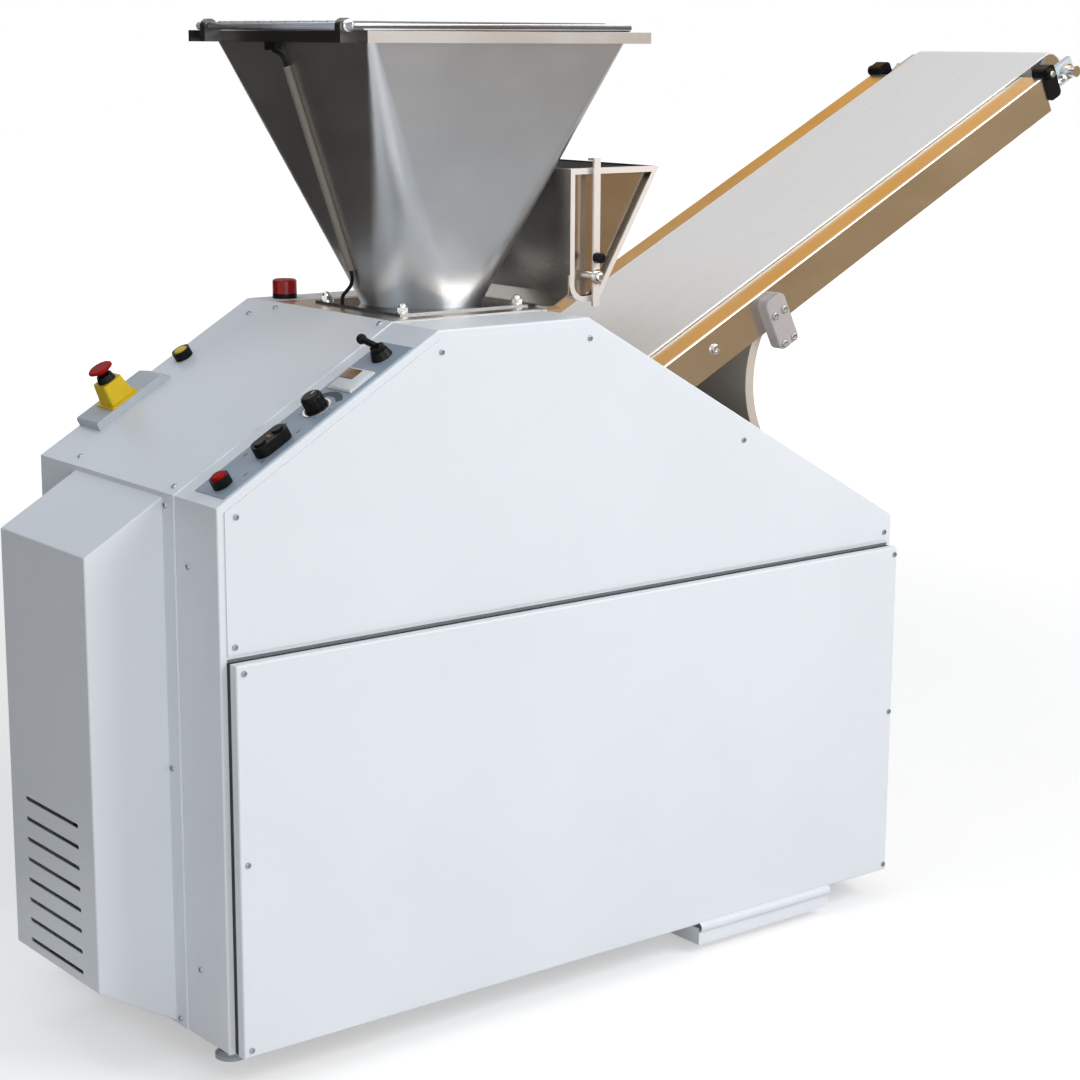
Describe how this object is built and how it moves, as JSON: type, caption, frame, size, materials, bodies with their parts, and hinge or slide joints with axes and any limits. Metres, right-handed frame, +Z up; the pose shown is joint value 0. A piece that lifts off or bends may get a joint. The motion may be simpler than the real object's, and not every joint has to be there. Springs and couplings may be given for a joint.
{
  "type": "vacuum dough divider",
  "caption": "White floor-standing dough divider with a funnel hopper and hinged grid, flour duster, vented belt guard, sloped controls and an inclined discharge belt.",
  "frame": {"origin": "on the floor, under the middle of the rectangular casing", "axes": "+X along the machine towards the discharge belt, +Y from the operator's side to the far side, +Z up"},
  "size_m": [2.0115, 0.6015, 1.527],
  "materials": {
    "painted_white": "satin",
    "stainless": "brushed",
    "frame_paint": "satin",
    "steel": "satin",
    "cast_iron": "painted",
    "motor_alloy": "painted",
    "black_plastic": "satin",
    "white_plastic": "matte",
    "grey_plastic": "matte",
    "control_grey": "satin",
    "red_plastic": "gloss",
    "red_lens": "gloss",
    "yellow_plastic": "gloss",
    "belt_white": "matte",
    "black_rubber": "matte"
  },
  "bodies": {
    "machine": {"near_casing": "painted_white", "far_casing": "painted_white", "side_plates": "painted_white", "lower_panels": "painted_white", "slope_cover": "painted_white", "belt_guard": "painted_white", "discharge_cover": "painted_white", "top_deck": "stainless", "hopper_shell": "stainless", "hopper_base": "stainless", "hold_down_knobs": "stainless", "discharge_guard": "stainless", "conveyor_rails": "stainless", "conveyor_bed": "stainless", "duster_trough": "stainless", "duster_bracket": "stainless", "takeup_plates": "stainless", "base_frame": "frame_paint", "inner_plates": "frame_paint", "levelling_feet": "steel", "gearbox": "cast_iron", "dough_chamber": "cast_iron", "drive_motor": "motor_alloy", "control_collars": "black_plastic", "takeup_blocks": "black_plastic", "grid_switch": "black_plastic", "cable_gland": "black_plastic", "rail_links": "white_plastic", "piece_counter": "white_plastic", "stop_box": "grey_plastic", "electric_box": "grey_plastic", "control_plate": "control_grey", "signal_lens": "red_lens", "stop_pedestal": "yellow_plastic", "conveyor_belt": "belt_white", "drive_belts": "black_rubber", "panel_seals": "black_rubber"},
    "grid": {"safety_grid": "stainless"},
    "flour_shaft": {"duster_rotor": "stainless", "duster_lever": "stainless", "lever_knob": "black_plastic"},
    "belt_head": {"head_roller": "steel"},
    "belt_tail": {"tail_roller": "steel"},
    "tray": {"scrap_tray": "painted_white"},
    "emergency_stop": {"stop_mushroom": "red_plastic"},
    "stop_press": {"stop_button": "red_plastic"},
    "start_press": {"start_button": "black_plastic"},
    "halt_press": {"halt_button": "black_plastic"},
    "cycle_press": {"cycle_button": "yellow_plastic"},
    "speed": {"speed_knob": "black_plastic"},
    "mode": {"mode_lever": "black_plastic"},
    "dough_ram": {"ram": "stainless"},
    "dough_knife": {"knife": "stainless"},
    "rocker": {"ram_lever": "steel"},
    "rod": {"conrod": "steel"},
    "crank": {"crankshaft": "steel"},
    "drum": {"measuring_drum": "stainless"},
    "pistons": {"measuring_pistons": "white_plastic"},
    "gearbox_input": {"driven_pulley": "steel"},
    "motor_shaft": {"motor_pulley": "steel"}
  },
  "joints": [
    {"name": "grid_hinge", "type": "hinge", "parent": "machine", "child": "grid", "pos_m": [-0.3965, 0.0075, 1.516], "axis": [0, -1, 0], "range_deg": [0, 95]},
    {"name": "flour_lever_turn", "type": "hinge", "parent": "machine", "child": "flour_shaft", "pos_m": [0.0905, 0.0075, 1.13], "axis": [0, 1, 0], "range_deg": [-15, 15]},
    {"name": "tail_roller_spin", "type": "hinge", "parent": "machine", "child": "belt_tail", "pos_m": [-0.07843, 0.0075, 0.80951], "axis": [0, 1, 0], "continuous": true},
    {"name": "head_roller_spin", "type": "hinge", "parent": "machine", "child": "belt_head", "pos_m": [1.17622, 0.0075, 1.4463], "axis": [0, 1, 0], "continuous": true},
    {"name": "tray_pull", "type": "slide", "parent": "machine", "child": "tray", "axis": [0, -1, 0], "range_m": [0, 0.3]},
    {"name": "emergency_stop_press", "type": "slide", "parent": "machine", "child": "emergency_stop", "axis": [0.5037, 0, -0.8639], "range_m": [0, 0.005], "stiffness_N_per_m": 900, "springref_m": -0.004},
    {"name": "stop_button_press", "type": "slide", "parent": "machine", "child": "stop_press", "axis": [0.5037, 0, -0.8639], "range_m": [0, 0.004], "stiffness_N_per_m": 400, "springref_m": -0.004},
    {"name": "start_button_press", "type": "slide", "parent": "machine", "child": "start_press", "axis": [0.5037, 0, -0.8639], "range_m": [0, 0.003], "stiffness_N_per_m": 400, "springref_m": -0.004},
    {"name": "halt_button_press", "type": "slide", "parent": "machine", "child": "halt_press", "axis": [0.5037, 0, -0.8639], "range_m": [0, 0.003], "stiffness_N_per_m": 400, "springref_m": -0.004},
    {"name": "cycle_button_press", "type": "slide", "parent": "machine", "child": "cycle_press", "axis": [0.5037, 0, -0.8639], "range_m": [0, 0.004], "stiffness_N_per_m": 400, "springref_m": -0.004},
    {"name": "speed_knob_turn", "type": "hinge", "parent": "machine", "child": "speed", "pos_m": [-0.47568, -0.2225, 0.97635], "axis": [-0.5037, 0, 0.8639], "range_deg": [-135, 135]},
    {"name": "mode_lever_turn", "type": "hinge", "parent": "machine", "child": "mode", "pos_m": [-0.36251, -0.2225, 1.04234], "axis": [-0.5037, 0, 0.8639], "range_deg": [-45, 45]},
    {"name": "ram_stroke", "type": "slide", "parent": "machine", "child": "dough_ram", "axis": [1, 0, 0], "range_m": [0, 0.13]},
    {"name": "rocker_swing", "type": "hinge", "parent": "machine", "child": "rocker", "pos_m": [-0.2685, 0.0075, 0.595], "axis": [0, 1, 0], "range_deg": [0, 18.46]},
    {"name": "rod_swing", "type": "hinge", "parent": "rocker", "child": "rod", "pos_m": [-0.29256, -0.0725, 0.74306], "axis": [0, 1, 0], "range_deg": [-18.46, 0]},
    {"name": "knife_stroke", "type": "slide", "parent": "machine", "child": "dough_knife", "axis": [1, 0, 0], "range_m": [0, 0.13]},
    {"name": "drum_turn", "type": "hinge", "parent": "machine", "child": "drum", "pos_m": [0.0215, 0.0075, 0.98], "axis": [0, 1, 0], "range_deg": [-90, 0]},
    {"name": "piston_stroke", "type": "slide", "parent": "drum", "child": "pistons", "axis": [-1, 0, 0], "range_m": [0, 0.028]},
    {"name": "input_spin", "type": "hinge", "parent": "machine", "child": "gearbox_input", "pos_m": [-0.6735, 0.0145, 0.65], "axis": [1, 0, 0], "continuous": true},
    {"name": "motor_spin", "type": "hinge", "parent": "machine", "child": "motor_shaft", "pos_m": [-0.6735, 0.0145, 0.25], "axis": [1, 0, 0], "continuous": true},
    {"name": "crank_spin", "type": "hinge", "parent": "machine", "child": "crank", "pos_m": [-0.5435, 0.0075, 0.73], "axis": [0, 1, 0], "continuous": true}
  ],
  "couplings": [
    {"joint": "head_roller_spin", "follows": "tail_roller_spin", "ratio": 1},
    {"joint": "rocker_swing", "follows": "ram_stroke", "rad_per_m": 2.4783},
    {"joint": "rod_swing", "follows": "ram_stroke", "rad_per_m": -2.4783},
    {"joint": "motor_spin", "follows": "input_spin", "ratio": 2.765},
    {"joint": "crank_spin", "follows": "input_spin", "ratio": 0.05}
  ]
}
